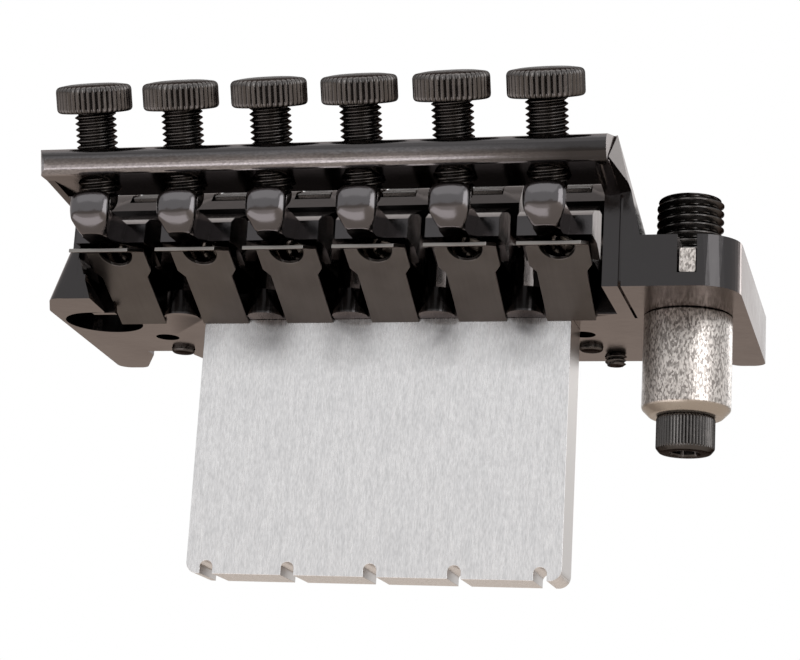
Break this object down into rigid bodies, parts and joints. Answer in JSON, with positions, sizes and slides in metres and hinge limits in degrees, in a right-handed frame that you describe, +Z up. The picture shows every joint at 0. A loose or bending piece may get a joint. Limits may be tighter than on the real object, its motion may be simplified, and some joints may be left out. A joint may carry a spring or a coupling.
{
  "type": "guitar tremolo bridge",
  "caption": "Locking tremolo bridge for an electric guitar: knife-edge base plate, pivoting saddles on leaf springs, knurled fine tuners, sustain block and arm socket.",
  "frame": {"origin": "midway between the two knife edges, on the line where they meet the guitar's pivot studs", "axes": "+X to the treble side along the knife edges, +Y towards the neck, +Z up from the guitar's top"},
  "size_m": [0.0875, 0.0517, 0.0561],
  "materials": {
    "black_plate": "gloss",
    "black_screw": "satin",
    "block": "brushed",
    "leaf": "satin",
    "nickel": "grained"
  },
  "bodies": {
    "bridge": {"base_plate": "black_plate", "sustain_block": "block", "block_screws": "black_screw", "rest_screws": "black_screw", "intonation_screws": "black_screw", "arm_collar": "black_screw", "arm_bush": "nickel", "arm_cap_screw": "black_screw", "leaf_spring_1": "leaf", "saddle_base_1": "black_plate", "pivot_pin_1": "black_screw", "leaf_spring_2": "leaf", "saddle_base_2": "black_plate", "pivot_pin_2": "black_screw", "leaf_spring_3": "leaf", "saddle_base_3": "black_plate", "pivot_pin_3": "black_screw", "leaf_spring_4": "leaf", "saddle_base_4": "black_plate", "pivot_pin_4": "black_screw", "leaf_spring_5": "leaf", "saddle_base_5": "black_plate", "pivot_pin_5": "black_screw", "leaf_spring_6": "leaf", "saddle_base_6": "black_plate", "pivot_pin_6": "black_screw"},
    "tuner_1": {"fine_tuner_1": "black_screw"},
    "holder_1": {"string_holder_1": "black_plate"},
    "clamp_1": {"clamp_block_1": "black_screw", "lock_screw_1": "black_screw"},
    "tuner_2": {"fine_tuner_2": "black_screw"},
    "holder_2": {"string_holder_2": "black_plate"},
    "clamp_2": {"clamp_block_2": "black_screw", "lock_screw_2": "black_screw"},
    "tuner_3": {"fine_tuner_3": "black_screw"},
    "holder_3": {"string_holder_3": "black_plate"},
    "clamp_3": {"clamp_block_3": "black_screw", "lock_screw_3": "black_screw"},
    "tuner_4": {"fine_tuner_4": "black_screw"},
    "holder_4": {"string_holder_4": "black_plate"},
    "clamp_4": {"clamp_block_4": "black_screw", "lock_screw_4": "black_screw"},
    "tuner_5": {"fine_tuner_5": "black_screw"},
    "holder_5": {"string_holder_5": "black_plate"},
    "clamp_5": {"clamp_block_5": "black_screw", "lock_screw_5": "black_screw"},
    "tuner_6": {"fine_tuner_6": "black_screw"},
    "holder_6": {"string_holder_6": "black_plate"},
    "clamp_6": {"clamp_block_6": "black_screw", "lock_screw_6": "black_screw"}
  },
  "joints": [
    {"name": "tuner_turn_in_1", "type": "slide", "parent": "bridge", "child": "tuner_1", "axis": [0, 0.4067, -0.9135], "range_m": [-0.001, 0.0025]},
    {"name": "holder_pivot_1", "type": "hinge", "parent": "bridge", "child": "holder_1", "pos_m": [-0.031, -0.0113, 0.0045], "axis": [1, 0, 0], "range_deg": [-2.4, 5.8], "deforming": ["leaf_spring_1"]},
    {"name": "string_lock_1", "type": "slide", "parent": "holder_1", "child": "clamp_1", "axis": [0, 0.9135, 0.4067], "range_m": [-0.0006, 0.0006]},
    {"name": "tuner_turn_in_2", "type": "slide", "parent": "bridge", "child": "tuner_2", "axis": [0, 0.4067, -0.9135], "range_m": [-0.001, 0.0025]},
    {"name": "holder_pivot_2", "type": "hinge", "parent": "bridge", "child": "holder_2", "pos_m": [-0.0202, -0.0113, 0.0045], "axis": [1, 0, 0], "range_deg": [-2.4, 5.8], "deforming": ["leaf_spring_2"]},
    {"name": "string_lock_2", "type": "slide", "parent": "holder_2", "child": "clamp_2", "axis": [0, 0.9135, 0.4067], "range_m": [-0.0006, 0.0006]},
    {"name": "tuner_turn_in_3", "type": "slide", "parent": "bridge", "child": "tuner_3", "axis": [0, 0.4067, -0.9135], "range_m": [-0.001, 0.0025]},
    {"name": "holder_pivot_3", "type": "hinge", "parent": "bridge", "child": "holder_3", "pos_m": [-0.0094, -0.0113, 0.0045], "axis": [1, 0, 0], "range_deg": [-2.4, 5.8], "deforming": ["leaf_spring_3"]},
    {"name": "string_lock_3", "type": "slide", "parent": "holder_3", "child": "clamp_3", "axis": [0, 0.9135, 0.4067], "range_m": [-0.0006, 0.0006]},
    {"name": "tuner_turn_in_4", "type": "slide", "parent": "bridge", "child": "tuner_4", "axis": [0, 0.4067, -0.9135], "range_m": [-0.001, 0.0025]},
    {"name": "holder_pivot_4", "type": "hinge", "parent": "bridge", "child": "holder_4", "pos_m": [0.0014, -0.0113, 0.0045], "axis": [1, 0, 0], "range_deg": [-2.4, 5.8], "deforming": ["leaf_spring_4"]},
    {"name": "string_lock_4", "type": "slide", "parent": "holder_4", "child": "clamp_4", "axis": [0, 0.9135, 0.4067], "range_m": [-0.0006, 0.0006]},
    {"name": "tuner_turn_in_5", "type": "slide", "parent": "bridge", "child": "tuner_5", "axis": [0, 0.4067, -0.9135], "range_m": [-0.001, 0.0025]},
    {"name": "holder_pivot_5", "type": "hinge", "parent": "bridge", "child": "holder_5", "pos_m": [0.0122, -0.0113, 0.0045], "axis": [1, 0, 0], "range_deg": [-2.4, 5.8], "deforming": ["leaf_spring_5"]},
    {"name": "string_lock_5", "type": "slide", "parent": "holder_5", "child": "clamp_5", "axis": [0, 0.9135, 0.4067], "range_m": [-0.0006, 0.0006]},
    {"name": "tuner_turn_in_6", "type": "slide", "parent": "bridge", "child": "tuner_6", "axis": [0, 0.4067, -0.9135], "range_m": [-0.001, 0.0025]},
    {"name": "holder_pivot_6", "type": "hinge", "parent": "bridge", "child": "holder_6", "pos_m": [0.023, -0.0113, 0.0045], "axis": [1, 0, 0], "range_deg": [-2.4, 5.8], "deforming": ["leaf_spring_6"]},
    {"name": "string_lock_6", "type": "slide", "parent": "holder_6", "child": "clamp_6", "axis": [0, 0.9135, 0.4067], "range_m": [-0.0006, 0.0006]}
  ],
  "couplings": [
    {"joint": "holder_pivot_1", "follows": "tuner_turn_in_1", "rad_per_m": 39.6},
    {"joint": "holder_pivot_2", "follows": "tuner_turn_in_2", "rad_per_m": 39.6},
    {"joint": "holder_pivot_3", "follows": "tuner_turn_in_3", "rad_per_m": 39.6},
    {"joint": "holder_pivot_4", "follows": "tuner_turn_in_4", "rad_per_m": 39.6},
    {"joint": "holder_pivot_5", "follows": "tuner_turn_in_5", "rad_per_m": 39.6},
    {"joint": "holder_pivot_6", "follows": "tuner_turn_in_6", "rad_per_m": 39.6}
  ]
}
